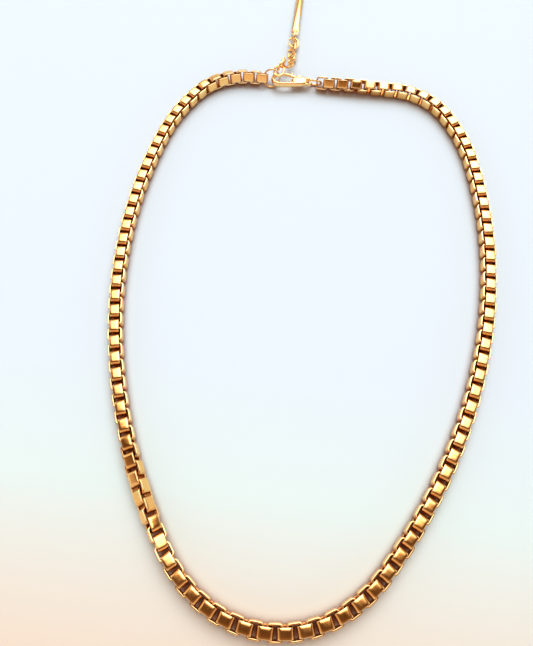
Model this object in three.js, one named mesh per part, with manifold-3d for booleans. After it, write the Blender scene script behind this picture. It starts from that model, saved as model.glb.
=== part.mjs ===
import * as THREE from 'three';
import { mergeVertices } from 'three/addons/utils/BufferGeometryUtils.js';
import Module from 'manifold-3d';

const wasm = await Module();
wasm.setup();

// All sizes are in millimetres and all turns in degrees.

// Box chain link: a flat strip bent into a rounded rectangle, every other link turned a quarter.
const linkPitch = 2.22;
const linkRowGap = 1.02;
const linkLength = 2 * linkPitch - linkRowGap;
const linkHeight = 3.8;
const stripThickness = 0.45;
const linkPlay = 0.25;
const stripWidth = linkHeight - 2 * (stripThickness + linkPlay);
const linkCornerRadius = 0.8;
const linkCornerSteps = 1;
const tieWidth = 0.8;
const tieEmbed = 0.15;

// Half of the chain's outline, as five tangent arcs from the bottom centre up to the top straight.
const bottomArcRadius = 29;
const bottomArcTurn = 35;
const lowerArcRadius = 36;
const lowerArcTurn = 20;
const flankArcRadius = 145;
const flankArcTurn = 48.5;
const shoulderArcRadius = 52;
const shoulderArcTurn = 21;
const topArcRadius = 20;
const halfTurn = 180;
const claspOffCentre = 8.5;

// How the chain is divided into runs that hinge on each other.
const rootRunHalfCount = 10;
const linksPerRun = 4;
const jointsBelowMiddle = 10;
const linksInMiddleRun = 12;
const jointsAboveMiddle = 6;

// The chain lies flat, but it rolls about its own length near both ends.
// Low on the left it makes a quarter turn.
const leftEndRoll = 37;
const rightEndRoll = 45;
const endRollLength = 26;
const quarterTurn = 90;
const quarterTurnFromBottom = 40;
const quarterTurnLength = 40;

// Large jump ring on the left end of the chain, and the ring that carries the clasp.
const endRingOutside = 5.8;
const endRingWire = 0.6;
const endRingFace = 37;
const claspRingOutside = 5.0;
const claspRingWire = 0.6;
const claspRingFace = 150;
const ringSteps = 28;
const ringWireSteps = 8;
const hookClearance = 0.25;

// Lobster clasp: a flat claw with a sprung lever across its mouth.
const claspLength = 13.6;
const claspThickness = 1.9;
const claspMiddleHeight = 2.2;
const claspHookPlay = 0.8;
const claspTailPlay = 0.4;
const claspHeadRadius = 2.8;
const claspTailRadius = 1.5;
const claspTailHole = 0.95;
const claspTailThickness = 1.1;
const claspTailThinLength = 2.9;
const claspRim = 1.1;
const claspWindowRadius = 1.7;
const claspWindowEndRadius = 1.0;
const claspWindowLength = 6.1;
const claspArcSteps = 28;
const mouthFromTip = 2.7;
const mouthLength = 4.9;
const mouthLow = 0.9;
const leverThickness = 1.0;
const leverWidth = 0.95;
const leverGap = 0.25;
const leverNibGap = 0.33;
const leverInset = 0.55;
const leverHeelRadius = 1.0;
const leverOpening = 20;
const leverThumbFromPivot = 2.3;
const leverThumbHeight = 0.7;
const pivotBehindMouth = 1.45;
const pivotAside = 0.9;
const rivetRadius = 0.42;
const rivetClearance = 0.05;
const rivetHeadRadius = 0.75;
const rivetHeadHeight = 0.2;
const rivetSteps = 14;
const springPocketLength = 2.2;
const springPocketWidth = 0.8;
const springGap = 0.25;
const springHeight = 0.8;

// Extender: plain oval links that end in a bar tag.
const extenderLinkCount = 8;
const extenderInsideLength = 3.5;
const extenderInsideWidth = 2.3;
const extenderWire = 0.75;
const extenderLinkLength = extenderInsideLength + 2 * extenderWire;
const extenderLinkWidth = extenderInsideWidth + 2 * extenderWire;
const extenderPitch = 2.82;
const extenderStartPlay = 0.35;
const extenderMostRoll = 40;
const extenderHeading = 80;
const extenderStartRise = 3.285;
const extenderStartHeight = extenderStartRise + extenderWire / 2;
const extenderFall = 8;
const extenderFallRise = 2.325;
const extenderFallHeight = extenderFallRise + extenderWire / 2;
const extenderAside = 5.6;
const extenderMiddleRise = 1.345;
const extenderMiddleHeight = extenderMiddleRise + extenderWire / 2;
const extenderEndRise = 1.525;
const extenderEndHeight = extenderEndRise + extenderWire / 2;
const tagLength = 22;
const tagWidth = 2.3;
const tagEdgeThickness = 0.5;
const tagRidgeThickness = 1.05;
const tagHoleRadius = 0.72;
const tagHoleFromEnd = 1.35;
const tagEndCut = 0.7;

const gold = 0xd9a441;
const degree = Math.PI / 180;

// Turns a three.js surface into a solid.
function solidOf(geometry) {
  const bare = new THREE.BufferGeometry();
  bare.setAttribute('position', geometry.getAttribute('position').clone());
  if (geometry.index) bare.setIndex(geometry.index.clone());
  const merged = mergeVertices(bare, 1e-5);
  const vertProperties = new Float32Array(merged.getAttribute('position').array);
  const triVerts = new Uint32Array(merged.index.array);
  return new wasm.Manifold(new wasm.Mesh({ numProp: 3, vertProperties, triVerts }));
}

// Turns a solid back into a three.js surface.
function surfaceOf(solid) {
  const mesh = solid.getMesh();
  const geometry = new THREE.BufferGeometry();
  geometry.setAttribute('position', new THREE.BufferAttribute(new Float32Array(mesh.vertProperties), 3));
  geometry.setIndex(new THREE.BufferAttribute(new Uint32Array(mesh.triVerts), 1));
  geometry.computeVertexNormals();
  return geometry;
}

function node(name, geometry) {
  const metal = new THREE.MeshStandardMaterial({ color: gold, metalness: 1, roughness: 0.2 });
  const mesh = new THREE.Mesh(geometry, metal);
  mesh.name = name;
  return mesh;
}

function smoothStep(from, to, value) {
  const share = Math.min(Math.max((value - from) / (to - from), 0), 1);
  return share * share * (3 - 2 * share);
}

const halfArcs = [
  { radius: bottomArcRadius, turn: bottomArcTurn * degree },
  { radius: lowerArcRadius, turn: lowerArcTurn * degree },
  { radius: flankArcRadius, turn: flankArcTurn * degree },
  { radius: shoulderArcRadius, turn: shoulderArcTurn * degree },
  {
    radius: topArcRadius,
    turn: (halfTurn - bottomArcTurn - lowerArcTurn - flankArcTurn - shoulderArcTurn) * degree,
  },
];

// The point and heading at a distance from the bottom centre: positive to the right, negative to the left.
function outlineAt(distance) {
  const side = distance < 0 ? -1 : 1;
  let left = Math.abs(distance);
  let x = 0;
  let y = 0;
  let heading = 0;
  for (const arc of halfArcs) {
    const part = Math.min(left, arc.radius * arc.turn);
    const next = heading + part / arc.radius;
    x += arc.radius * (Math.sin(next) - Math.sin(heading));
    y += arc.radius * (Math.cos(heading) - Math.cos(next));
    heading = next;
    left -= part;
  }
  x += left * Math.cos(heading);
  y += left * Math.sin(heading);
  return { x: side * x, y, heading: side * heading };
}

const arcsLength = halfArcs.reduce((sum, arc) => sum + arc.radius * arc.turn, 0);
const topStraightEnd = outlineAt(arcsLength);
const halfOutline = arcsLength + topStraightEnd.x;
const topLine = topStraightEnd.y;

// How far a strip's inner face, or a flat of some half width, can sit from a ring's middle.
function reachInRing(outside, wire, halfWidth) {
  const inside = outside / 2 - wire;
  return Math.sqrt(inside * inside - (halfWidth + hookClearance) ** 2);
}

// The hardware between the chain's two ends, measured along the top straight.
const windowHalf = linkLength / 2 - stripThickness;
const linkToEndRing = windowHalf + reachInRing(endRingOutside, endRingWire, stripWidth / 2);
const claspTilt = Math.sin((90 - endRingFace) * degree);
const hookReach = reachInRing(endRingOutside, endRingWire, claspThickness / 2 / claspTilt);
const endRingToTip = hookReach - claspRim - claspHookPlay;
const tailTilt = Math.sin((claspRingFace - 90) * degree);
const tailReach = reachInRing(claspRingOutside, claspRingWire, claspTailThickness / 2 / tailTilt);
const tailEndToClaspRing = tailReach - (claspTailRadius - claspTailHole) - claspTailPlay;
const claspRingToLink = reachInRing(claspRingOutside, claspRingWire, stripWidth / 2) + windowHalf;
const hardwareLength = linkToEndRing + endRingToTip + claspLength + tailEndToClaspRing + claspRingToLink;

// The left end has to be an even link, whose tall side faces the front there, so that the ring fits it.
const steps = Math.round((2 * halfOutline - hardwareLength) / linkPitch);
const laidPitch = (2 * halfOutline - hardwareLength) / steps;
const linksLeft = 2 * Math.round((halfOutline - hardwareLength / 2 - claspOffCentre) / laidPitch / 2);
const linksRight = steps - linksLeft;
const rightRollSide = linksRight % 2 === 0 ? -1 : 1;

const leftEndX = outlineAt(-linksLeft * laidPitch).x;
const rightEndX = outlineAt(linksRight * laidPitch).x;
const endRingX = leftEndX + linkToEndRing;
const claspTipX = endRingX + endRingToTip;
const claspRingX = rightEndX - claspRingToLink;

// The roll of the chain about its own length, as seen looking from the left end towards the right.
function rollAt(distance) {
  const leftEnd = -linksLeft * laidPitch;
  const rightEnd = linksRight * laidPitch;
  const left = -leftEndRoll * (1 - smoothStep(leftEnd, leftEnd + endRollLength, distance));
  const right = rightRollSide * rightEndRoll * smoothStep(rightEnd - endRollLength, rightEnd, distance);
  const twistStart = -quarterTurnFromBottom - quarterTurnLength / 2;
  const twist = quarterTurn * (1 - smoothStep(twistStart, twistStart + quarterTurnLength, distance));
  return (left + right + twist) * degree;
}

// The height of the chain's middle when its lowest strip edge rests on the ground.
function restHeight(roll) {
  const c = Math.abs(Math.cos(roll));
  const s = Math.abs(Math.sin(roll));
  const high = linkHeight / 2;
  const wide = stripWidth / 2;
  return Math.max(high * c + wide * s, wide * c + high * s);
}

// The place of a link, with x along the chain, y across its tall side and z across its strip.
function linkPlace(index) {
  const distance = index * laidPitch;
  const at = outlineAt(distance);
  const roll = rollAt(distance);
  const along = new THREE.Vector3(Math.cos(at.heading), Math.sin(at.heading), 0);
  const up = new THREE.Vector3(0, 0, 1);
  const side = new THREE.Vector3().crossVectors(up, along);
  const turned = roll + (index % 2 === 0 ? 0 : Math.PI / 2);
  const tall = up.multiplyScalar(Math.cos(turned)).addScaledVector(side, Math.sin(turned));
  const across = new THREE.Vector3().crossVectors(along, tall);
  const place = new THREE.Matrix4().makeBasis(along, tall, across);
  place.setPosition(at.x, at.y, restHeight(roll));
  return place;
}

function roundedRectangle(path, length, height, radius, cornerSteps) {
  const points = [];
  for (let corner = 0; corner < 4; corner++) {
    const cx = (corner === 0 || corner === 3 ? 1 : -1) * (length / 2 - radius);
    const cy = (corner < 2 ? 1 : -1) * (height / 2 - radius);
    for (let step = 0; step <= cornerSteps; step++) {
      const angle = (corner + step / cornerSteps) * Math.PI / 2;
      points.push(new THREE.Vector2(cx + radius * Math.cos(angle), cy + radius * Math.sin(angle)));
    }
  }
  path.setFromPoints(points);
  return path;
}

function linkSolid() {
  const bare = new THREE.Shape();
  const outline = roundedRectangle(bare, linkLength, linkHeight, linkCornerRadius, linkCornerSteps);
  const halfLength = linkLength / 2 - stripThickness;
  const halfHeight = linkHeight / 2 - stripThickness;
  const window = new THREE.Path([
    new THREE.Vector2(halfLength, halfHeight),
    new THREE.Vector2(-halfLength, halfHeight),
    new THREE.Vector2(-halfLength, -halfHeight),
    new THREE.Vector2(halfLength, -halfHeight),
  ]);
  outline.holes.push(window);
  const geometry = new THREE.ExtrudeGeometry(outline, { depth: stripWidth, bevelEnabled: false });
  geometry.translate(0, 0, -stripWidth / 2);
  return solidOf(geometry);
}

// A short block where two links bear on each other, so that the links of one run are a single solid.
function tieSolid(index) {
  const from = new THREE.Vector3().setFromMatrixPosition(linkPlace(index));
  const to = new THREE.Vector3().setFromMatrixPosition(linkPlace(index + 1));
  const length = 2 * (windowHalf - laidPitch / 2 + tieEmbed);
  const along = to.clone().sub(from).normalize();
  const across = new THREE.Vector3(0, 0, 1).cross(along).normalize();
  const up = new THREE.Vector3().crossVectors(along, across);
  const place = new THREE.Matrix4().makeBasis(along, across, up);
  place.setPosition(from.add(to).multiplyScalar(0.5));
  const block = new THREE.BoxGeometry(length, tieWidth, tieWidth);
  return solidOf(block).transform(place.elements);
}

const link = linkSolid();

function chainRun(name, first, last) {
  const solids = [];
  for (let index = first; index <= last; index++) {
    solids.push(link.transform(linkPlace(index).elements));
    if (index < last) solids.push(tieSolid(index));
  }
  return node(name, surfaceOf(wasm.Manifold.union(solids)));
}

// The last link of each run on one side, counted outwards from the bottom centre.
function runEnds(lastLink) {
  const ends = [];
  let end = rootRunHalfCount;
  for (let joint = 0; joint < jointsBelowMiddle - 1; joint++) {
    end += linksPerRun;
    ends.push(end);
  }
  end += linksInMiddleRun;
  ends.push(end);
  for (let joint = 0; joint < jointsAboveMiddle - 1; joint++) {
    end += linksPerRun;
    ends.push(end);
  }
  ends.push(lastLink);
  return ends;
}

function addChain(group) {
  group.add(chainRun('chain_bottom', -rootRunHalfCount, rootRunHalfCount));
  const sides = [
    { label: 'left', lastLink: linksLeft, sign: -1 },
    { label: 'right', lastLink: linksRight, sign: 1 },
  ];
  for (const { label, lastLink, sign } of sides) {
    let first = rootRunHalfCount + 1;
    runEnds(lastLink).forEach((end, at) => {
      const name = `chain_${label}_${String(at + 1).padStart(2, '0')}`;
      const low = sign > 0 ? first : -end;
      const high = sign > 0 ? end : -first;
      group.add(chainRun(name, low, high));
      first = end + 1;
    });
  }
}

function ring(name, x, height, outside, wire, face) {
  const geometry = new THREE.TorusGeometry((outside - wire) / 2, wire / 2, ringWireSteps, ringSteps);
  geometry.rotateZ(Math.PI / ringSteps);
  geometry.rotateX((90 - face) * degree);
  geometry.translate(x, topLine, height);
  return node(name, surfaceOf(solidOf(geometry)));
}

// An outline around two circles on the clasp's middle line.
function teardrop(path, backX, backRadius, frontX, frontRadius) {
  const points = [];
  const lean = Math.asin((frontRadius - backRadius) / (backX - frontX));
  const half = claspArcSteps / 2;
  for (let step = 0; step <= half; step++) {
    const angle = -Math.PI / 2 + lean + (Math.PI - 2 * lean) * step / half;
    points.push(new THREE.Vector2(backX + backRadius * Math.cos(angle), backRadius * Math.sin(angle)));
  }
  for (let step = 0; step <= half; step++) {
    const angle = Math.PI / 2 - lean + (Math.PI + 2 * lean) * step / half;
    points.push(new THREE.Vector2(frontX + frontRadius * Math.cos(angle), frontRadius * Math.sin(angle)));
  }
  path.setFromPoints(points);
  return path;
}

function plate(path, thickness, middle = 0) {
  const geometry = new THREE.ExtrudeGeometry(path, { depth: thickness, bevelEnabled: false });
  geometry.translate(0, 0, middle - thickness / 2);
  return solidOf(geometry);
}

function disc(x, y, radius, height, middle = 0) {
  const geometry = new THREE.CylinderGeometry(radius, radius, height, rivetSteps);
  geometry.rotateX(Math.PI / 2);
  geometry.translate(x, y, middle);
  return solidOf(geometry);
}

function bar(fromX, fromY, toX, toY, width, thickness) {
  const length = Math.hypot(toX - fromX, toY - fromY);
  const geometry = new THREE.BoxGeometry(length, width, thickness);
  geometry.rotateZ(Math.atan2(toY - fromY, toX - fromX));
  geometry.translate((fromX + toX) / 2, (fromY + toY) / 2, 0);
  return solidOf(geometry);
}

// The clasp's own frame has its tip at x = 0, its tail towards +x and its mouth on the +y side.
const claspTailX = claspLength - claspTailRadius;
const windowFrontX = claspRim + claspWindowRadius;
const windowBackX = claspRim + claspWindowLength - claspWindowEndRadius;
const pivotX = mouthFromTip + mouthLength + pivotBehindMouth;
const leverNibX = mouthFromTip + leverNibGap + leverWidth / 2;
const leverNibY = claspHeadRadius - leverInset;
const slotThickness = leverThickness + 2 * leverGap;

function onClasp(name, solid) {
  return node(name, surfaceOf(solid.translate([claspTipX, topLine, claspMiddleHeight])));
}

// The lever's solid, a little larger all round when it cuts its own slot.
function leverShape(grow) {
  const thickness = leverThickness + 2 * grow;
  const width = leverWidth + 2 * grow;
  const thumbX = pivotX - leverThumbFromPivot;
  const thumbY = claspHeadRadius - leverInset;
  const heel = disc(pivotX, pivotAside, leverHeelRadius + grow, thickness);
  const arm = bar(pivotX, pivotAside, leverNibX, leverNibY, width, thickness);
  const nib = disc(leverNibX, leverNibY, width / 2, thickness);
  const thumb = bar(thumbX, pivotAside + width / 2, thumbX, thumbY + leverThumbHeight, width, thickness);
  return heel.add(arm).add(nib).add(thumb);
}

function turnedAboutPivot(solid, angle) {
  return solid.translate([-pivotX, -pivotAside, 0]).rotate([0, 0, angle]).translate([pivotX, pivotAside, 0]);
}

function claspBody() {
  const outline = teardrop(new THREE.Shape(), claspTailX, claspTailRadius, claspHeadRadius, claspHeadRadius);
  const window = teardrop(
    new THREE.Shape(), windowBackX, claspWindowEndRadius, windowFrontX, claspWindowRadius,
  );
  const through = 2 * claspThickness;
  let body = plate(outline, claspThickness).subtract(plate(window, through));
  for (const side of [-1, 1]) {
    const shaving = new THREE.BoxGeometry(2 * claspTailThinLength, 2 * claspHeadRadius, claspThickness);
    shaving.translate(claspLength, 0, side * (claspTailThickness + claspThickness) / 2);
    body = body.subtract(solidOf(shaving));
  }
  const mouthWidth = claspHeadRadius;
  const mouthMiddle = mouthLow + mouthWidth / 2;
  const mouthEnd = mouthFromTip + mouthLength;
  body = body.subtract(bar(mouthFromTip, mouthMiddle, mouthEnd, mouthMiddle, mouthWidth, through));
  for (const share of [0, 0.5, 1]) {
    body = body.subtract(turnedAboutPivot(leverShape(leverGap), share * leverOpening));
  }
  body = body.subtract(springPocket());
  body = body.subtract(disc(pivotX, pivotAside, rivetRadius + rivetClearance, through));
  body = body.subtract(disc(claspTailX, 0, claspTailHole, through));
  return onClasp('clasp_body', body);
}

const springY = pivotAside - leverHeelRadius - leverGap - springPocketWidth / 2;

function springPocket() {
  const half = springPocketLength / 2;
  const width = springPocketWidth + 2 * springGap;
  return bar(pivotX - half, springY, pivotX + half, springY, width, slotThickness);
}

function leverSpring() {
  const half = springPocketLength / 2 - springGap;
  const leaf = bar(pivotX - half, springY, pivotX + half, springY, springPocketWidth / 2, springHeight);
  return onClasp('lever_spring', leaf);
}

function claspLever() {
  const hole = disc(pivotX, pivotAside, rivetRadius + rivetClearance, 2 * claspThickness);
  return onClasp('clasp_lever', leverShape(0).subtract(hole));
}

function leverRivet() {
  const outside = claspThickness / 2 + rivetClearance + rivetHeadHeight / 2;
  const shaft = disc(pivotX, pivotAside, rivetRadius, 2 * outside);
  const top = disc(pivotX, pivotAside, rivetHeadRadius, rivetHeadHeight, outside);
  const under = disc(pivotX, pivotAside, rivetHeadRadius, rivetHeadHeight, -outside);
  return onClasp('lever_rivet', shaft.add(top).add(under));
}

// An oval loop of round wire: a ring whose two halves are moved apart.
function ovalLoop(length, width, wire) {
  const geometry = new THREE.TorusGeometry((width - wire) / 2, wire / 2, ringWireSteps, ringSteps);
  geometry.rotateZ(Math.PI / ringSteps);
  const at = geometry.getAttribute('position');
  for (let i = 0; i < at.count; i++) {
    at.setX(i, at.getX(i) + Math.sign(at.getX(i)) * (length - width) / 2);
  }
  return geometry;
}

// The extender's middle line: over the clasp's back edge and down to the ground.
// From there it runs straight away from the chain.
const ringRadius = (endRingOutside - endRingWire) / 2;
const ringLean = endRingFace * degree;
const endRingHeight = ringRadius * Math.cos(ringLean) + endRingWire / 2;
const startRise = extenderStartHeight - endRingHeight;
const startAlong = Math.sqrt(ringRadius ** 2 - (startRise / Math.cos(ringLean)) ** 2);
const extenderStart = new THREE.Vector3(
  endRingX + startAlong, topLine + startRise * Math.tan(ringLean), extenderStartHeight,
);
const extenderX = endRingX + extenderAside;
const firstReach = (extenderInsideLength - endRingWire) / 2 - extenderStartPlay;
const lastReach = (extenderLinkLength - extenderWire) / 2;
const extenderRun = firstReach + (extenderLinkCount - 1) * extenderPitch + lastReach;

function extenderLine() {
  const ahead = extenderHeading * degree;
  const outward = new THREE.Vector3(Math.cos(ahead), Math.sin(ahead), 0);
  const landed = topLine + extenderFall + extenderPitch;
  return new THREE.CatmullRomCurve3([
    extenderStart,
    extenderStart.clone().addScaledVector(outward, firstReach + extenderPitch),
    new THREE.Vector3(extenderX, topLine + extenderFall, extenderFallHeight),
    new THREE.Vector3(extenderX, landed, extenderMiddleHeight),
    new THREE.Vector3(extenderX, landed + extenderRun / 4, extenderMiddleHeight),
    new THREE.Vector3(extenderX, landed + extenderRun / 2, extenderEndHeight),
    new THREE.Vector3(extenderX, landed + extenderRun, extenderEndHeight),
  ]);
}

const extenderCurve = extenderLine();

function extenderAt(distance) {
  const share = distance / extenderCurve.getLength();
  return { point: extenderCurve.getPointAt(share), along: extenderCurve.getTangentAt(share) };
}

function addExtender(group) {
  for (let index = 0; index < extenderLinkCount; index++) {
    const { point, along } = extenderAt(firstReach + index * extenderPitch);
    const side = new THREE.Vector3(0, 0, 1).cross(along).normalize();
    const up = new THREE.Vector3().crossVectors(along, side);
    const share = index / (extenderLinkCount - 1);
    const roll = extenderMostRoll * Math.sin(Math.PI * share) + (index % 2 === 0 ? 0 : quarterTurn);
    const geometry = ovalLoop(extenderLinkLength, extenderLinkWidth, extenderWire);
    geometry.rotateX(roll * degree);
    geometry.applyMatrix4(new THREE.Matrix4().makeBasis(along, side, up).setPosition(point));
    group.add(node(`extender_link_${index + 1}`, surfaceOf(solidOf(geometry))));
  }
}

// A slim bar with a ridge along both faces, clipped corners and a hole near one end.
// It lies with its far end down.
function barTag() {
  const halfWidth = tagWidth / 2;
  const section = new THREE.Shape([
    new THREE.Vector2(halfWidth, -tagEdgeThickness / 2),
    new THREE.Vector2(halfWidth, tagEdgeThickness / 2),
    new THREE.Vector2(0, tagRidgeThickness / 2),
    new THREE.Vector2(-halfWidth, tagEdgeThickness / 2),
    new THREE.Vector2(-halfWidth, -tagEdgeThickness / 2),
    new THREE.Vector2(0, -tagRidgeThickness / 2),
  ]);
  const stock = new THREE.ExtrudeGeometry(section, { depth: tagLength, bevelEnabled: false });
  stock.rotateX(Math.PI / 2);
  stock.translate(0, tagLength, 0);
  const plan = roundedRectangle(new THREE.Shape(), tagWidth, tagLength, tagEndCut, linkCornerSteps);
  const outline = plate(plan, 2 * tagRidgeThickness).translate([0, tagLength / 2, 0]);
  const hole = disc(0, tagHoleFromEnd, tagHoleRadius, 2 * tagRidgeThickness);
  const { point } = extenderAt(extenderRun);
  const drop = Math.asin((point.z - tagRidgeThickness / 2) / (tagLength - tagHoleFromEnd));
  const tag = solidOf(stock).intersect(outline).subtract(hole)
    .translate([0, -tagHoleFromEnd, 0])
    .rotate([-drop / degree, 0, 0])
    .translate([point.x, point.y, point.z]);
  return node('bar_tag', surfaceOf(tag));
}

// Moves everything so that the middle of the base of the whole piece is at the origin.
function centred(group) {
  const box = new THREE.Box3().setFromObject(group);
  const middle = box.getCenter(new THREE.Vector3());
  for (const mesh of group.children) mesh.geometry.translate(-middle.x, -middle.y, -box.min.z);
  return group;
}

function necklace() {
  const group = new THREE.Group();
  addChain(group);
  group.add(ring('end_jump_ring', endRingX, endRingHeight, endRingOutside, endRingWire, endRingFace));
  const claspRingHeight = restHeight(rightEndRoll * degree);
  group.add(ring('clasp_ring', claspRingX, claspRingHeight, claspRingOutside, claspRingWire, claspRingFace));
  group.add(claspBody());
  group.add(claspLever());
  group.add(leverSpring());
  group.add(leverRivet());
  addExtender(group);
  group.add(barTag());
  return centred(group);
}

export default necklace();
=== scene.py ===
import math
import random

import bmesh
import bpy
import numpy as np
from mathutils import Matrix, Vector


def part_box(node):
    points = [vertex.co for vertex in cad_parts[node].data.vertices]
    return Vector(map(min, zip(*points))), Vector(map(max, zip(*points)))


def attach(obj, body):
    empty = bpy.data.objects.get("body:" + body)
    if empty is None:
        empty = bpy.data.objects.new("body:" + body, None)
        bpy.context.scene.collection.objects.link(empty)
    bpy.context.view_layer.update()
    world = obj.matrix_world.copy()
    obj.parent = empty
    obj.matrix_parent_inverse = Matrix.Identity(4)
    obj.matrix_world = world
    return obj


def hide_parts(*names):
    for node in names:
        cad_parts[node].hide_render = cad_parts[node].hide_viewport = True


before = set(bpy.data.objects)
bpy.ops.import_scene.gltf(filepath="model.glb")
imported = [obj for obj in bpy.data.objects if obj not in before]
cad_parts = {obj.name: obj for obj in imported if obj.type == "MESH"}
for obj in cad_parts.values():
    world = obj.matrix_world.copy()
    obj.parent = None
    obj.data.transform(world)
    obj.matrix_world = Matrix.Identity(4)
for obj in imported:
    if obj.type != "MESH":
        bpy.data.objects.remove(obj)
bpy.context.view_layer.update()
millimetre = 0.001


# a signal is one output socket, and sums of signals add Math nodes
class Signal:
    def __init__(self, shader, socket):
        self.shader = shader
        self.socket = socket

    def math(self, operation, first, second=0.0):
        return self.shader.node("ShaderNodeMath", {"operation": operation}, {0: first, 1: second})

    def __add__(self, other):
        return self.math("ADD", self, other)

    def __radd__(self, other):
        return self.math("ADD", other, self)

    def __sub__(self, other):
        return self.math("SUBTRACT", self, other)

    def __rsub__(self, other):
        return self.math("SUBTRACT", other, self)

    def __mul__(self, other):
        return self.math("MULTIPLY", self, other)

    def __rmul__(self, other):
        return self.math("MULTIPLY", other, self)

# the node tree of a material or of the world
class Shader:
    def __init__(self, owner, surface="Principled BSDF"):
        owner.use_nodes = True
        self.owner = owner
        self.tree = owner.node_tree
        self.surface = self.tree.nodes[surface]

    # settings are put on the node first, then its sockets get values or links
    def node(self, kind, settings=None, sockets=None, output=0):
        made = self.tree.nodes.new(kind)
        for name, value in (settings or {}).items():
            if name == "stops":
                setStops(made.color_ramp, value)
            else:
                setattr(made, name, value)
        for name, value in (sockets or {}).items():
            self.feed(made.inputs[name], value)
        return Signal(self, made.outputs[output])

    def feed(self, socket, value):
        if isinstance(value, Signal):
            self.tree.links.new(value.socket, socket)
        else:
            socket.default_value = value

    def mixColour(self, share, first, second):
        return self.node("ShaderNodeMix", {"data_type": "RGBA"}, {0: share, 6: first, 7: second}, output=2)

    def attribute(self, name):
        return self.node("ShaderNodeAttribute", {"attribute_name": name}, output=2)

    # a soft step from 0 to 1 between two values
    def ramp(self, value, low, high):
        settings = {"interpolation_type": "SMOOTHSTEP"}
        return self.node("ShaderNodeMapRange", settings, {0: value, 1: low, 2: high})

    def noise(self, place, scale, detail, roughness=0.55):
        sockets = {"Vector": place, "Scale": scale, "Detail": detail, "Roughness": roughness}
        return self.node("ShaderNodeTexNoise", None, sockets)

    def put(self, **values):
        for name, value in values.items():
            self.feed(self.surface.inputs[name.replace("_", " ")], value)
        return self.owner


def setStops(ramp, stops):
    while len(ramp.elements) < len(stops):
        ramp.elements.new(1.0)
    for element, (place, colour) in zip(ramp.elements, stops):
        element.position = place
        element.color = colour


camera = {
    "place": (-2.4, -75.9, 127.2),  # mm
    "tilt": 21.11,  # degrees away from straight down
    "turn": 6.85,
    "lens": 18.58,
    "longSide": 24.0,
}


def addCamera():
    data = bpy.data.cameras.new("camera")
    data.sensor_fit = "AUTO"
    data.sensor_width = camera["longSide"]
    data.lens = camera["lens"]
    data.clip_start = 0.005
    made = bpy.data.objects.new("camera", data)
    made.location = Vector(camera["place"]) * millimetre
    made.rotation_euler = (math.radians(camera["tilt"]), 0, math.radians(camera["turn"]))
    bpy.context.collection.objects.link(made)
    bpy.context.scene.camera = made


addCamera()
print("camera in place")


# gold plate, and the steel of the hidden spring
# the darkest colour of each gold is painted shade, which the gold takes where the code paints shade
plateGold = {
    "chainGold": {
        "face": (1.0, 0.56, 0.175, 1),
        "worn": (1.0, 0.70, 0.34, 1),
        "hollow": (0.52, 0.16, 0.03, 1),
        "roughness": 0.13,
        "smudge": 0.16,
        "scratch": 0.10,
    },
    "findingGold": {
        "face": (1.0, 0.60, 0.22, 1),
        "worn": (1.0, 0.72, 0.38, 1),
        "hollow": (0.72, 0.38, 0.13, 1),
        "roughness": 0.12,
        "smudge": 0.14,
        "scratch": 0.08,
    },
    "claspGold": {
        "face": (1.0, 0.64, 0.27, 1),
        "worn": (1.0, 0.74, 0.40, 1),
        "hollow": (0.62, 0.30, 0.09, 1),
        "roughness": 0.2,
        "smudge": 0.16,
        "scratch": 0.12,
    },
}
# what all the golds share, with the sizes of their patterns per millimetre
finish = {
    "smudgeScale": 0.55,
    "grainScale": 6.0,
    "scratchScale": 2.6,
    "scratchTurn": (0.4, 0.2, 0.7),
    "scratchStretch": (1.0, 9.0, 1.0),
    "scratchDepth": 0.00004,
    "toneStops": [(0, (0.9, 0.5, 0.16, 1)), (1, (1, 0.8, 0.45, 1))],
    "toneShare": 0.16,
    "wearShare": 0.8,
    # how strongly the painted shade darkens the gold
    "shadeAndSmudgeShare": 0.75,
}


def makeGold(name):
    look = plateGold[name]
    shader = Shader(bpy.data.materials.new(name))
    place = shader.node("ShaderNodeTexCoord", output=3)
    inMillimetres = shader.node("ShaderNodeVectorMath", {"operation": "SCALE"}, {0: place, 3: 1 / millimetre})
    streaks = shader.node("ShaderNodeMapping", None, {
        "Vector": inMillimetres,
        "Rotation": finish["scratchTurn"],
        "Scale": finish["scratchStretch"],
    })
    smudges = shader.noise(inMillimetres, finish["smudgeScale"], 4.0)
    grain = shader.noise(inMillimetres, finish["grainScale"], 5.0, 0.65)
    scratches = shader.noise(streaks, finish["scratchScale"], 6.0, 0.7)
    hollow = shader.attribute("hollow")
    edge = shader.attribute("edge")
    tone = shader.attribute("tone")
    wear = shader.ramp(edge + (grain - 0.5) * 0.8, 0.35, 1.0)
    # painted shade: the shade number, broken up a little by smudge noise, darkens the gold to its dark colour
    # and roughens it
    shadeAndSmudge = shader.ramp(hollow + (smudges - 0.5) * 0.5, 0.2, 1.0)
    plain = shader.mixColour(wear * finish["wearShare"], look["face"], look["worn"])
    tint = shader.node("ShaderNodeValToRGB", {"stops": finish["toneStops"]}, {0: tone})
    tinted = shader.mixColour(finish["toneShare"], plain, tint)
    colour = shader.mixColour(shadeAndSmudge * finish["shadeAndSmudgeShare"], tinted, look["hollow"])
    handled = look["roughness"] + (smudges - 0.5) * look["smudge"] + (scratches - 0.5) * 0.08
    rough = handled + shadeAndSmudge * 0.12 - wear * 0.02
    bump = shader.node("ShaderNodeBump", None, {
        "Strength": look["scratch"],
        "Distance": finish["scratchDepth"],
        "Height": scratches * 0.5 + grain * 0.5,
    })
    return shader.put(Base_Color=colour, Roughness=rough, Normal=bump, Metallic=1.0)


steel = {
    "dark": (0.45, 0.43, 0.4, 1),
    "light": (0.6, 0.58, 0.55, 1),
    "grainScale": 9000.0,  # per metre
    "roughness": 0.22,
}


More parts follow.
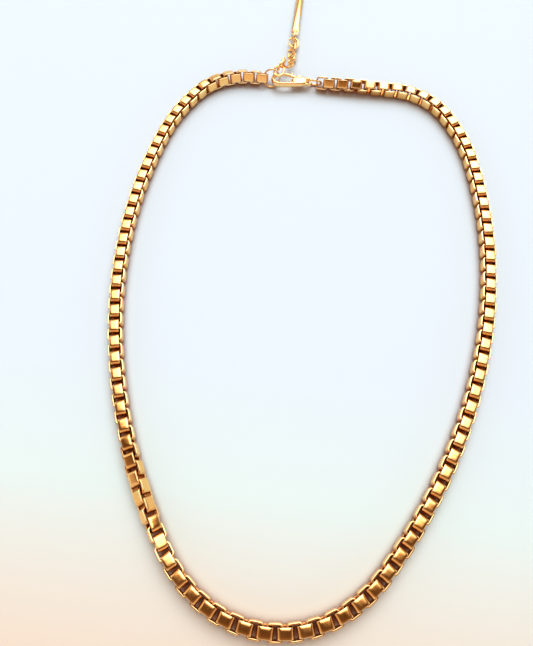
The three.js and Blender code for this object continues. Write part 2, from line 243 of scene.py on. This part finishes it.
def makeSteel(name):
    shader = Shader(bpy.data.materials.new(name))
    place = shader.node("ShaderNodeTexCoord", output=3)
    grain = shader.noise(place, steel["grainScale"], 4.0)
    colour = shader.mixColour(grain, steel["dark"], steel["light"])
    return shader.put(Base_Color=colour, Roughness=steel["roughness"] + grain * 0.2, Metallic=1.0)


materials = {name: makeGold(name) for name in plateGold}
materials["springSteel"] = makeSteel("springSteel")
print("metals mixed")


# a shell is a list of points, faces and numbers per point
class Shell:
    def __init__(self):
        self.points = []
        self.faces = []
        self.numbers = {"hollow": [], "edge": [], "tone": []}
        self.count = 0

    def add(self, points, faces, hollow, edge, tone):
        self.points.append(points)
        self.faces.append(faces + self.count)
        self.numbers["hollow"].append(np.broadcast_to(hollow, len(points)))
        self.numbers["edge"].append(np.broadcast_to(edge, len(points)))
        self.numbers["tone"].append(np.full(len(points), tone))
        self.count += len(points)

    def finish(self, name, material, body, nodes, slot):
        mesh = bpy.data.meshes.new(name)
        points = np.concatenate(self.points) * millimetre
        faces = np.concatenate(self.faces)
        mesh.from_pydata(points.tolist(), [], faces.tolist())
        mesh.validate()
        for label, parts in self.numbers.items():
            stored = mesh.attributes.new(label, "FLOAT", "POINT")
            stored.data.foreach_set("value", np.concatenate(parts).astype(np.float32))
        mesh.shade_smooth()
        made = bpy.data.objects.new(name, mesh)
        bpy.context.collection.objects.link(made)
        settle(made, material, body, nodes)


def settle(made, material, body, nodes):
    made.data.materials.clear()
    made.data.materials.append(materials[material])
    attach(made, body)
    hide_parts(*nodes)


def moved(points, place):
    turned = np.array(place, float)
    return points @ turned[:3, :3].T + turned[:3, 3]


# the faces between closed rings of points, laid one after another
def ringFaces(rings, around, closed):
    faces = []
    last = rings if closed else rings - 1
    for ring in range(last):
        after = (ring + 1) % rings
        for step in range(around):
            beside = (step + 1) % around
            low, top = ring * around, after * around
            faces.append((low + step, low + beside, top + beside, top + step))
    return faces


# where the links lie, in millimetres and degrees
outline = {
    "radii": (29.0, 36.0, 145.0, 52.0, 20.0),
    "turns": (35.0, 20.0, 48.5, 21.0, 55.5),
    "bottomCentre": (0.0, -99.115, 0.07),
    "pitch": 2.21702,
    "linksLeft": 88,
    "linksRight": 97,
    "leftEndRoll": -37.0,
    "rightEndRoll": 45.0,
    "endRollLength": 26.0,
    "quarterTurnFromBottom": 40.0,
    "quarterTurnLength": 40.0,
}


def smoothStep(low, high, value):
    share = min(max((value - low) / (high - low), 0), 1)
    return share * share * (3 - 2 * share)


def outlineAt(distance):
    side = -1 if distance < 0 else 1
    left, x, y, heading = abs(distance), 0.0, 0.0, 0.0
    for radius, turn in zip(outline["radii"], outline["turns"]):
        part = min(left, radius * math.radians(turn))
        after = heading + part / radius
        x += radius * (math.sin(after) - math.sin(heading))
        y += radius * (math.cos(heading) - math.cos(after))
        heading = after
        left -= part
    x += left * math.cos(heading)
    y += left * math.sin(heading)
    return side * x, y, side * heading


def rollAt(distance):
    leftEnd = -outline["linksLeft"] * outline["pitch"]
    rightEnd = outline["linksRight"] * outline["pitch"]
    reach = outline["endRollLength"]
    rightSide = -1 if outline["linksRight"] % 2 == 0 else 1
    left = outline["leftEndRoll"] * (1 - smoothStep(leftEnd, leftEnd + reach, distance))
    right = rightSide * outline["rightEndRoll"] * smoothStep(rightEnd - reach, rightEnd, distance)
    start = -outline["quarterTurnFromBottom"] - outline["quarterTurnLength"] / 2
    twist = 90 * (1 - smoothStep(start, start + outline["quarterTurnLength"], distance))
    return math.radians(left + right + twist)


def restHeight(roll):
    cosine, sine = abs(math.cos(roll)), abs(math.sin(roll))
    high, wide = boxLink["height"] / 2, boxLink["stripWidth"] / 2
    return max(high * cosine + wide * sine, wide * cosine + high * sine)


# a flat strip bent into a rounded rectangle, every other link turned a quarter, in runs like the solids
boxLink = {
    "length": 3.78,
    "height": 3.8,
    "stripWidth": 2.45,
    "stripThickness": 0.45,
    "cornerRadius": 0.95,
    "edgeRadius": 0.13,
    "dome": 0.03,  # how far a face bulges
    "bendShade": 0.9,  # how much painted shade darkens the strip where it bends down, inside and out
    "cornerSteps": 7,
    "sideSteps": 2,
    "edgeSteps": 4,
    "looseTurn": 1.1,  # degrees
    "looseShift": 0.03,
    "runLinks": 4,
    "rootHalf": 10,
    "lowerJoints": 10,
    "middleLinks": 12,
    "upperJoints": 6,
}


# points round the strip's own section: how far out, how far across, and which of them are edges
def stripSection():
    half, thick = boxLink["stripWidth"] / 2, boxLink["stripThickness"] / 2
    radius, steps = boxLink["edgeRadius"], boxLink["edgeSteps"]
    out, across, edge = [], [], []
    for corner in range(4):
        middleOut = (1 if corner in (0, 3) else -1) * (thick - radius)
        middleAcross = (1 if corner < 2 else -1) * (half - radius)
        for step in range(steps):
            angle = math.radians(90 * (corner + step / (steps - 1)))
            out.append(middleOut + radius * math.cos(angle))
            across.append(middleAcross + radius * math.sin(angle))
            edge.append(1.0)
        if corner in (1, 3):
            outward = 1 if corner == 3 else -1
            for share in (-0.5, 0.0, 0.5):
                out.append(outward * thick)
                across.append(outward * share * (half - radius))
                edge.append(0.0)
    out, across = np.array(out), np.array(across)
    bulge = np.where(out > 0, boxLink["dome"] * (1 - (across / half) ** 2), 0)
    return out + bulge, across, np.array(edge)


# points round the middle line of the strip, with the outward direction at each
def linkLoop():
    radius = boxLink["cornerRadius"]
    thick = boxLink["stripThickness"] / 2
    halfLength, halfHeight = boxLink["length"] / 2, boxLink["height"] / 2
    centres, normals = [], []
    for corner in range(4):
        cx = (1 if corner in (0, 3) else -1) * (halfLength - radius)
        cy = (1 if corner < 2 else -1) * (halfHeight - radius)
        for step in range(boxLink["cornerSteps"]):
            angle = math.radians(90 * (corner + step / (boxLink["cornerSteps"] - 1)))
            normal = Vector((math.cos(angle), math.sin(angle)))
            centres.append(Vector((cx, cy)) + normal * (radius - thick))
            normals.append(normal)
        nextX = (1 if (corner + 1) % 4 in (0, 3) else -1) * (halfLength - radius)
        nextY = (1 if (corner + 1) % 4 < 2 else -1) * (halfHeight - radius)
        for step in range(boxLink["sideSteps"]):
            share = (step + 1) / (boxLink["sideSteps"] + 1)
            at = Vector((cx, cy)).lerp(Vector((nextX, nextY)), share)
            centres.append(at + normal * (radius - thick))
            normals.append(normal)
    return centres, normals


def makeLink():
    out, across, edge = stripSection()
    centres, normals = linkLoop()
    points = []
    for centre, normal in zip(centres, normals):
        for reach, shift in zip(out, across):
            points.append((centre.x + normal.x * reach, centre.y + normal.y * reach, shift))
    faces = ringFaces(len(centres), len(out), True)
    # painted shade: the inside of each link and both bent ends, inside and out, are darkened
    inside = (out < -boxLink["stripThickness"] / 4).astype(float)
    linkShade = np.concatenate([np.maximum(inside, boxLink["bendShade"] * abs(normal.x)) for normal in normals])
    return np.array(points), np.array(faces), linkShade, np.tile(edge, len(centres))


def linkPlace(index, chance):
    x, y, heading = outlineAt(index * outline["pitch"])
    roll = rollAt(index * outline["pitch"])
    along = Vector((math.cos(heading), math.sin(heading), 0))
    up = Vector((0, 0, 1))
    side = up.cross(along)
    turned = roll + (0 if index % 2 == 0 else math.pi / 2)
    tall = up * math.cos(turned) + side * math.sin(turned)
    across = along.cross(tall)
    base = Vector(outline["bottomCentre"])
    place = Matrix((along, tall, across)).transposed().to_4x4()
    place.translation = base + Vector((x, y, restHeight(roll)))
    loose = math.radians(boxLink["looseTurn"])
    for axis in "XYZ":
        place = place @ Matrix.Rotation(chance.uniform(-loose, loose), 4, axis)
    place = place @ Matrix.Translation((chance.uniform(-1, 1) * boxLink["looseShift"], 0, 0))
    return place


def runLimits():
    lower = [boxLink["rootHalf"] + boxLink["runLinks"] * step for step in range(boxLink["lowerJoints"])]
    upper = lower[-1] + boxLink["middleLinks"]
    return lower + [upper + boxLink["runLinks"] * step for step in range(boxLink["upperJoints"])]


def addChain():
    link = makeLink()
    chance = random.Random(7)
    runs = [("chain_bottom", range(-boxLink["rootHalf"], boxLink["rootHalf"] + 1))]
    for label, last, sign in (("left", outline["linksLeft"], -1), ("right", outline["linksRight"], 1)):
        limits = runLimits() + [last]
        for at, (low, high) in enumerate(zip(limits, limits[1:])):
            runs.append((f"chain_{label}_{at + 1:02d}", [sign * step for step in range(low + 1, high + 1)]))
    for body, indices in runs:
        shell = Shell()
        for index in indices:
            points, faces, linkShade, edge = link
            shell.add(moved(points, linkPlace(index, chance)), faces, linkShade, edge, chance.random())
        shell.finish(f"links_{body}", "chainGold", body, [body], "chain_gold")


addChain()
print("box chain laid")


# jump rings and extender links, each with the seam where the wire was closed
wireRings = {
    # painted shade: the last number of each ring darkens its whole wire towards the dark gold
    "end_jump_ring": {"outside": 5.75, "wire": 0.52, "stretch": 0.0, "seam": 62.0, "shadeAndSmudge": 0.9},
    "clasp_ring": {"outside": 4.95, "wire": 0.55, "stretch": 0.0, "seam": 200.0, "shadeAndSmudge": 0.6},
    "extender": {"outside": 3.8, "wire": 0.75, "stretch": 1.2, "seam": 90.0, "shadeAndSmudge": 0.35},
    "seamGap": 1.4,  # degrees
    "endSizes": (0.02, 0.82),  # the wire's ends are rounded off, as shares of its thickness
    "steps": 72,
    "around": 18,
}


def ringPoints(look):
    middle = (look["outside"] - look["wire"]) / 2
    around = wireRings["around"]
    start, gap = math.radians(look["seam"]), math.radians(wireRings["seamGap"])
    angles = np.linspace(start + gap / 2, start + 2 * math.pi - gap / 2, wireRings["steps"])
    ends = list(wireRings["endSizes"])
    sizes = ends + [1.0] * (len(angles) - 2 * len(ends)) + ends[::-1]
    angles[1] = angles[0]
    angles[-2] = angles[-1]
    points, edge = [], []
    for angle, size in zip(angles, sizes):
        radial = Vector((math.cos(angle), math.sin(angle), 0))
        shift = Vector((math.copysign(look["stretch"] / 2, radial.x), 0, 0))
        for step in range(around):
            turn = 2 * math.pi * step / around
            reach = radial * (math.cos(turn) * look["wire"] / 2 * size)
            rise = Vector((0, 0, math.sin(turn) * look["wire"] / 2 * size))
            points.append(radial * middle + shift + reach + rise)
            edge.append(1.0 if size < 1 else max(0.0, math.cos(turn)) ** 4 * 0.8)
    return np.array(points), np.array(ringFaces(len(angles), around, False)), np.array(edge)


# the middle and directions of a CAD ring, from the points of its solid
def ringPlace(node, alongHint):
    points = np.array([v.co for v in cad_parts[node].data.vertices], float) / millimetre
    centre = points.mean(0)
    values, vectors = np.linalg.eigh(np.cov((points - centre).T))
    along, normal = Vector(vectors[:, 2]), Vector(vectors[:, 0])
    if along.dot(alongHint) < 0:
        along = -along
    if normal.z < 0:
        normal = -normal
    place = Matrix((along, normal.cross(along), normal)).transposed().to_4x4()
    place.translation = Vector(centre)
    return place


def addRing(node, look, alongHint):
    points, faces, edge = ringPoints(look)
    shell = Shell()
    shell.add(moved(points, ringPlace(node, alongHint)), faces, look["shadeAndSmudge"], edge, 0.5)
    shell.finish(f"wire_{node}", "findingGold", node, [node], "finding_gold")


for node in ("end_jump_ring", "clasp_ring"):
    addRing(node, wireRings[node], Vector((1, 0, 0)))
for index in range(1, 9):
    addRing(f"extender_link_{index}", wireRings["extender"], Vector((0, 1, 0)))
print("rings and extender closed")


# lobster clasp: cast in one with its tail eye, then slotted for the lever
clasp = {
    "pivot": (9.05, 0.9),
    # the claw runs from the tail, under the mouth, to the hooked tip
    "claw": [(10.6, -1.1), (8.2, -1.55), (5.4, -1.95), (3.0, -2.2), (1.35, -1.75), (0.58, -0.2), (0.95, 1.25),
             (2.35, 2.05)],
    "clawWidths": ([0, 0.2, 0.5, 0.75, 1], [1.5, 1.35, 1.15, 1.1, 0.75]),
    "clawThicks": ([0, 0.3, 0.6, 0.85, 1], [1.7, 1.85, 1.85, 1.7, 1.2]),
    "tailCentre": (9.3, 0.05, 0),
    "tailHalf": (2.75, 1.95, 0.95),
    "eyeCentre": 12.1,
    "eyeRadius": 1.2,
    "eyeWire": (0.62, 1.05),  # across and up
    "slotCentre": (8.2, 1.35, 0),
    "slotSize": (5.4, 2.6),
    "pocketCentre": (9.05, -0.75, 0),
    "pocketSize": (2.0, 0.9, 0.9),
    "voxel": 0.07,
    "smooth": 6,
}
lever = {
    "arm": [(9.6, 0.75), (8.4, 1.25), (6.4, 1.95), (4.6, 2.3), (3.45, 2.2)],
    "armWidths": ([0, 0.15, 0.5, 1], [1.1, 1.5, 1.0, 0.7]),
    "thumb": [(6.75, 1.5), (6.75, 2.3), (6.6, 2.95)],
    "thumbWidth": 0.8,
    "thick": 0.98,
    "slotWidth": 1.5,
    "voxel": 0.06,
    "smooth": 4,
}
rivet = {
    "radius": 0.42,
    "gap": 0.04,
    "halfLength": 1.17,
    "sides": 32,
    # each head from its middle outward: how far out, and how far below the top
    "head": [(0.0, 0.0), (0.45, 0.02), (0.65, 0.09), (0.72, 0.19)],
    "headHeight": 0.2,
}
spring = {
    "wire": 0.13,
    "radius": 0.28,
    "length": 1.6,
    "turns": 6,
    "turnSteps": 20,
    "around": 8,
}
drillLength = 4.0


def claspOrigin():
    low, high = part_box("clasp_body")
    rivetLow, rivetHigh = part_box("lever_rivet")
    middle = (rivetLow + rivetHigh) / 2 / millimetre
    return Vector((low.x / millimetre, middle.y - clasp["pivot"][1], middle.z))


# the faces between rows of points, each row joined to the one after it
def joinRows(mesh, rows):
    around = len(rows[0])
    for low, top in zip(rows, rows[1:]):
        for step in range(around):
            beside = (step + 1) % around
            mesh.faces.new((low[step], low[beside], top[beside], top[step]))


# an elliptical bar along a curved line, with its own width and thickness at each point
def addBar(mesh, line, widths, thicks, around=20):
    rows = []
    for at, (x, y) in enumerate(line):
        before, after = line[max(at - 1, 0)], line[min(at + 1, len(line) - 1)]
        ahead = Vector((after[0] - before[0], after[1] - before[1], 0)).normalized()
        side = Vector((-ahead.y, ahead.x, 0))
        row = []
        for step in range(around):
            turn = 2 * math.pi * step / around
            offset = side * (math.cos(turn) * widths[at] / 2)
            row.append(mesh.verts.new(Vector((x, y, math.sin(turn) * thicks[at] / 2)) + offset))
        rows.append(row)
    joinRows(mesh, rows)
    mesh.faces.new(rows[0][::-1])
    mesh.faces.new(rows[-1])


# a bar with its widths and thicknesses given at a few shares of its length
def addTapered(mesh, stops, steps, widths, thicks):
    line = softLine(stops, steps)
    spread = np.linspace(0, 1, len(line))
    addBar(mesh, [(p.x, p.y) for p in line], np.interp(spread, *widths), np.interp(spread, *thicks))


def even(size):
    return [0, 1], [size, size]


def addBulb(mesh, centre, size, power=2.4, steps=32):
    made = bmesh.ops.create_uvsphere(mesh, u_segments=steps, v_segments=steps // 2, radius=1)
    for vert in made["verts"]:
        grown = [math.copysign(abs(value) ** (2 / power), value) for value in vert.co]
        vert.co = Vector([grown[i] * size[i] + centre[i] for i in range(3)])


# soft curve through a few points, evenly stepped
def softLine(stops, steps):
    stops = [Vector((*stop, 0.0)) if len(stop) == 2 else Vector(stop) for stop in stops]
    line = []
    for at in range(len(stops) - 1):
        before = stops[max(at - 1, 0)]
        first, second = stops[at], stops[at + 1]
        after = stops[min(at + 2, len(stops) - 1)]
        for step in range(steps):
            t = step / steps
            line.append(0.5 * (
                2 * first + (second - before) * t + (2 * before - 5 * first + 4 * second - after) * t * t
                + (3 * first - before - 3 * second + after) * t ** 3
            ))
    line.append(stops[-1])
    return line


def fromBmesh(mesh, name):
    bmesh.ops.recalc_face_normals(mesh, faces=mesh.faces)
    data = bpy.data.meshes.new(name)
    mesh.to_mesh(data)
    mesh.free()
    made = bpy.data.objects.new(name, data)
    bpy.context.collection.objects.link(made)
    return made


def applied(made):
    ready = bpy.data.meshes.new_from_object(made.evaluated_get(bpy.context.evaluated_depsgraph_get()))
    made.modifiers.clear()
    made.data = ready
    return made


def melt(made, voxel, passes):
    remesh = made.modifiers.new("melt", "REMESH")
    remesh.mode = "VOXEL"
    remesh.voxel_size = voxel
    smooth = made.modifiers.new("polish", "SMOOTH")
    smooth.iterations = passes
    smooth.factor = 0.5
    return applied(made)


def cut(made, tool, operation="DIFFERENCE"):
    boolean = made.modifiers.new("cut", "BOOLEAN")
    boolean.operation = operation
    boolean.solver = "EXACT"
    boolean.object = tool
    applied(made)
    bpy.data.objects.remove(tool)
    return made


def block(name, centre, size):
    mesh = bmesh.new()
    bmesh.ops.create_cube(mesh, size=1)
    for vert in mesh.verts:
        vert.co = Vector([centre[i] + vert.co[i] * size[i] for i in range(3)])
    return fromBmesh(mesh, name)


def drilled(made, place, radius, sides):
    drill = bmesh.new()
    sizes = {"radius1": radius, "radius2": radius, "depth": drillLength}
    bmesh.ops.create_cone(drill, cap_ends=True, segments=sides, **sizes)
    bmesh.ops.translate(drill, verts=drill.verts, vec=(*place, 0))
    return cut(made, fromBmesh(drill, "drill"))


def rivetDrilled(made):
    return drilled(made, clasp["pivot"], rivet["radius"] + rivet["gap"], rivet["sides"])


def claspCasting():
    mesh = bmesh.new()
    addTapered(mesh, clasp["claw"], 8, clasp["clawWidths"], clasp["clawThicks"])
    addBulb(mesh, clasp["tailCentre"], clasp["tailHalf"])
    middle, radius = clasp["eyeCentre"], clasp["eyeRadius"]
    turns = np.linspace(0, 2 * math.pi, 40)
    wide, high = clasp["eyeWire"]
    eye = [(middle + radius * math.cos(t), radius * math.sin(t)) for t in turns]
    addBar(mesh, eye, [wide] * len(eye), [high] * len(eye))
    made = melt(fromBmesh(mesh, "claspCasting"), clasp["voxel"], clasp["smooth"])
    cut(made, block("leverSlot", clasp["slotCentre"], (*clasp["slotSize"], lever["slotWidth"])))
    cut(made, block("springPocket", clasp["pocketCentre"], clasp["pocketSize"]))
    return rivetDrilled(made)


def leverCasting():
    mesh = bmesh.new()
    addTapered(mesh, lever["arm"], 7, lever["armWidths"], even(lever["thick"]))
    addTapered(mesh, lever["thumb"], 6, even(lever["thumbWidth"]), even(lever["thick"]))
    return rivetDrilled(melt(fromBmesh(mesh, "leverCasting"), lever["voxel"], lever["smooth"]))


def rivetPin():
    mesh = bmesh.new()
    top = [(reach, rivet["halfLength"] - drop) for reach, drop in rivet["head"]]
    top.append((rivet["radius"], rivet["halfLength"] - rivet["headHeight"]))
    profile = [(reach, -height) for reach, height in top] + top[::-1]
    turns = np.linspace(0, 2 * math.pi, rivet["sides"] + 1)[:-1]
    rows = []
    for reach, height in profile:
        rows.append([mesh.verts.new((reach * math.cos(t), reach * math.sin(t), height)) for t in turns])
    joinRows(mesh, rows)
    bmesh.ops.remove_doubles(mesh, verts=mesh.verts, dist=0.001)
    made = fromBmesh(mesh, "rivet")
    made.data.transform(Matrix.Translation((*clasp["pivot"], 0)))
    return made


def springCoil():
    mesh = bmesh.new()
    radius, wire, length = spring["radius"], spring["wire"] / 2, spring["length"]
    steps = spring["turnSteps"] * spring["turns"]
    centre, ahead = Vector(clasp["pocketCentre"]), Vector((1, 0, 0))
    turns = np.linspace(0, 2 * math.pi, spring["around"] + 1)[:-1]
    rows = []
    for step in range(steps + 1):
        angle = 2 * math.pi * step / spring["turnSteps"]
        out = Vector((0, math.cos(angle), math.sin(angle)))
        at = centre + ahead * (length * (step / steps - 0.5)) + out * radius
        rows.append([mesh.verts.new(at + (out * math.cos(t) + ahead * math.sin(t)) * wire) for t in turns])
    joinRows(mesh, rows)
    mesh.faces.new(rows[0])
    mesh.faces.new(rows[-1])
    return fromBmesh(mesh, "spring")


# the painted shade, edge and tone numbers of a cast piece, with an even painted shade all over, worn most
# where the surface bends away most
def addWear(made, hollow=0.2, tone=0.6, wearGain=4):
    data = made.data
    count = len(data.vertices)
    for label, value in (("hollow", hollow), ("tone", tone)):
        data.attributes.new(label, "FLOAT", "POINT").data.foreach_set("value", [value] * count)
    normals = np.array([v.normal for v in data.vertices])
    places = np.array([v.co for v in data.vertices])
    bend, links = np.zeros(count), np.zeros(count)
    for a, b in np.array([e.vertices[:] for e in data.edges]):
        step = places[b] - places[a]
        size = np.linalg.norm(step) + 1e-12
        turn = np.dot(normals[b] - normals[a], step) / size
        bend[a] += turn
        bend[b] += turn
        links[a] += 1
        links[b] += 1
    edge = np.clip(bend / np.maximum(links, 1) * wearGain, 0, 1)
    data.attributes.new("edge", "FLOAT", "POINT").data.foreach_set("value", edge.astype(np.float32))


def addClasp():
    origin = claspOrigin()
    pieces = (
        (claspCasting(), "clasp_body", "clasp", "claspGold", "clasp_gold"),
        (leverCasting(), "clasp_lever", "clasp_lever", "claspGold", "clasp_gold"),
        (rivetPin(), "lever_rivet", "clasp", "claspGold", "clasp_gold"),
        (springCoil(), "lever_spring", "clasp", "springSteel", "spring_steel"),
    )
    for made, node, body, material, slot in pieces:
        addWear(made)
        made.data.transform(Matrix.Translation(origin))
        made.data.transform(Matrix.Scale(millimetre, 4))
        made.data.shade_smooth()
        settle(made, material, body, [node])


addClasp()
print("clasp cast")


# bar tag: a slim bar with a ridge, softened edges and a drilled hole
tag = {
    "length": 22.0,
    "width": 2.3,
    "edge": 0.5,
    "ridge": 1.05,
    "endCut": 0.7,
    "holeRadius": 0.72,
    "holeFromEnd": 1.35,
    "soften": 0.09,
    "sharpAngle": 30,  # degrees
    "softenAngle": 12,
}


def tagBar():
    mesh = bmesh.new()
    half, cutBack = tag["width"] / 2, tag["endCut"]
    stations = [(0.0, half - cutBack), (cutBack * 0.3, half - cutBack * 0.3), (cutBack, half)]
    stations += [(tag["length"] - y, w) for y, w in reversed(stations)]
    high = tag["ridge"] / 2
    rows = []
    for y, wide in stations:
        thin = high - (tag["ridge"] - tag["edge"]) / 2 * wide / half
        section = ((wide, -thin), (wide, thin), (0, high), (-wide, thin), (-wide, -thin), (0, -high))
        rows.append([mesh.verts.new((x, y, z)) for x, z in section])
    joinRows(mesh, rows)
    mesh.faces.new(rows[0])
    mesh.faces.new(rows[-1])
    return fromBmesh(mesh, "tagBar")


def addTag():
    made = drilled(tagBar(), (0, tag["holeFromEnd"]), tag["holeRadius"], 40)
    soften = made.modifiers.new("soften", "BEVEL")
    soften.width = tag["soften"]
    soften.segments = 3
    soften.limit_method = "ANGLE"
    soften.angle_limit = math.radians(tag["softenAngle"])
    applied(made)
    low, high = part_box("bar_tag")
    low, high = low / millimetre, high / millimetre
    drop = math.asin((high.z - low.z - tag["ridge"] * 0.99) / tag["length"])
    made.data.transform(Matrix.Translation((0, -tag["length"] / 2, 0)))
    place = Matrix.Translation((low + high) / 2) @ Matrix.Rotation(-drop, 4, "X")
    made.data.transform(place)
    addWear(made)
    made.data.transform(Matrix.Scale(millimetre, 4))
    made.data.shade_smooth()
    made.data.set_sharp_from_angle(angle=math.radians(tag["sharpAngle"]))
    settle(made, "findingGold", "bar_tag", ["bar_tag"])


addTag()
print("tag cut")


studio = {
    "tableSize": 12.0,
    # painted light: the table runs from cool and pale to warmer and darker towards -y, painting the fall of
    # the light across it
    "falloffTones": [
        (0.0, (0.68, 0.82, 0.94, 1)),
        (0.45, (0.685, 0.84, 0.87, 1)),
        (1.0, (0.77, 0.665, 0.565, 1)),
    ],
    "toneFrom": -0.040,
    "toneTo": -0.112,
    "contactShadeColour": (0.34, 0.15, 0.07, 1),  # painted contact shadow with gold bounce light, on the table close to the metal
    "contactShadeReach": 0.0035,
    "windowAim": (0.05, 0.53, 0.85),
    # how the surroundings look at each cosine away from the middle of the bright window
    "sky": [
        (0.0, (0.25, 0.20, 0.17, 1)),
        (0.42, (0.10, 0.055, 0.03, 1)),
        (0.77, (0.020, 0.008, 0.003, 1)),
        (0.83, (0.19, 0.12, 0.075, 1)),
        (0.89, (0.72, 0.68, 0.64, 1)),
        (0.955, (1.0, 0.99, 0.98, 1)),
    ],
    "haze": (0.226, 0.217, 0.208, 1),  # pale and even all round, low down
    "hazeHeights": (0.22, 0.58),
    "skyStrength": 3.85,
    # each lamp looks at the middle of the table
    "lamps": {
        "softKey": {"place": (0.15, 0.75, 0.7), "size": 0.7, "power": 1.6, "colour": (1.0, 0.98, 0.96)},
        "softFill": {"place": (-0.7, 0.2, 0.5), "size": 0.5, "power": 0.5, "colour": (1.0, 0.96, 0.92)},
    },
}


def addTable():
    mesh = bmesh.new()
    bmesh.ops.create_grid(mesh, x_segments=1, y_segments=1, size=studio["tableSize"] / 2)
    made = fromBmesh(mesh, "table")
    shader = Shader(bpy.data.materials.new("tableTop"))
    place = shader.node("ShaderNodeTexCoord", output=3)
    ahead = shader.node("ShaderNodeSeparateXYZ", None, {0: place}, output=1)
    share = shader.node("ShaderNodeMapRange", None, {0: ahead, 1: studio["toneFrom"], 2: studio["toneTo"]})
    plain = shader.node("ShaderNodeValToRGB", {"stops": studio["falloffTones"]}, {0: share})
    reach = {"Distance": studio["contactShadeReach"]}
    openness = shader.node("ShaderNodeAmbientOcclusion", {"samples": 12}, reach, output=1)
    # painted contact shadow and bounce light: where ambient occlusion finds metal close by, the table turns
    # to the warm dark brown
    colour = shader.mixColour((1 - shader.ramp(openness, 0.2, 0.8)) * 0.95, plain, studio["contactShadeColour"])
    made.data.materials.append(shader.put(Base_Color=colour, Roughness=0.75))
    shader.surface.inputs["Specular IOR Level"].default_value = 0.2


def addSky():
    world = bpy.data.worlds.new("studio")
    bpy.context.scene.world = world
    shader = Shader(world, "Background")
    direction = shader.node("ShaderNodeTexCoord")
    aim = Vector(studio["windowAim"]).normalized()
    settings = {"operation": "DOT_PRODUCT"}
    facing = shader.node("ShaderNodeVectorMath", settings, {0: direction, 1: aim}, output=1)
    sky = shader.node("ShaderNodeValToRGB", {"stops": studio["sky"]}, {0: facing})
    height = shader.node("ShaderNodeSeparateXYZ", None, {0: direction}, output=2)
    clear = shader.ramp(height, *studio["hazeHeights"])
    shader.put(Color=shader.mixColour(clear, studio["haze"], sky), Strength=studio["skyStrength"])


def addLamp(name, place, size, power, colour):
    data = bpy.data.lights.new(name, "AREA")
    data.shape = "DISK"
    data.size = size
    data.energy = power
    data.color = colour
    made = bpy.data.objects.new(name, data)
    made.location = place
    made.rotation_euler = Vector(place).to_track_quat("Z", "Y").to_euler()
    bpy.context.collection.objects.link(made)


addTable()
addSky()
for name, lamp in studio["lamps"].items():
    addLamp(name, **lamp)
bpy.context.scene.view_settings.view_transform = "Standard"
print("table and light set")
